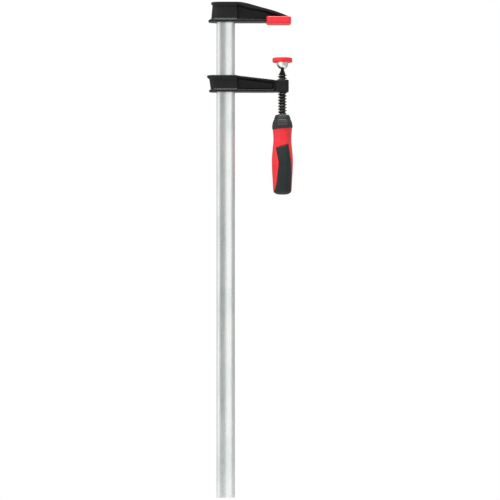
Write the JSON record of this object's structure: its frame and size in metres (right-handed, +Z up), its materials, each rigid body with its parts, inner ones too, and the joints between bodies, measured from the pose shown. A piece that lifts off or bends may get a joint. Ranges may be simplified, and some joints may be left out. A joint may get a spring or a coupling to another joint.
{
  "type": "f clamp",
  "caption": "F clamp: a grooved steel rail with a fixed jaw, a sliding jaw, a screw spindle with a two-colour handle, and padded faces.",
  "frame": {"origin": "centre of the fixed jaw's clamping face, on the spindle's axis", "axes": "+Z up along the rail, +X from the rail towards the jaws' tips, -Y the front"},
  "size_m": [0.1169, 0.027, 0.673],
  "materials": {
    "zinc_steel": "zinc plated, satin",
    "black_casting": "black paint, semi-gloss",
    "red_plastic": "moulded, semi-gloss",
    "black_steel": "black oxide, oiled",
    "plated_steel": "bright nickel plating",
    "black_plastic": "moulded, matte",
    "soft_black": "soft moulding, matte"
  },
  "bodies": {
    "frame": {"rail": "zinc_steel", "fixed_jaw": "black_casting", "fixed_jaw_pad": "red_plastic"},
    "sliding_jaw": {"sliding_jaw": "black_casting"},
    "spindle_seat": {"ball_retainer": "black_plastic"},
    "spindle": {"spindle": "black_steel", "handle_core": "red_plastic", "handle_collar": "black_plastic", "soft_grip": "soft_black"},
    "swivel_pad": {"pressure_plate": "plated_steel", "pressure_plate_cap": "red_plastic"}
  },
  "joints": [
    {"name": "jaw_slide", "type": "slide", "parent": "frame", "child": "sliding_jaw", "axis": [0, 0, 1], "range_m": [-0.549, 0.01]},
    {"name": "spindle_feed", "type": "slide", "parent": "sliding_jaw", "child": "spindle_seat", "axis": [0, 0, 1], "range_m": [-0.015, 0.03]},
    {"name": "spindle_turn", "type": "hinge", "parent": "spindle_seat", "child": "spindle", "pos_m": [0, 0, -0.0574], "axis": [0, 0, 1], "range_deg": [-1351, 2701]},
    {"name": "pad_tilt", "type": "hinge", "parent": "spindle_seat", "child": "swivel_pad", "pos_m": [0, 0, -0.0574], "axis": [0, 1, 0], "range_deg": [-15, 15]}
  ],
  "couplings": [
    {"joint": "spindle_turn", "follows": "spindle_feed", "rad_per_m": 1570.8}
  ]
}
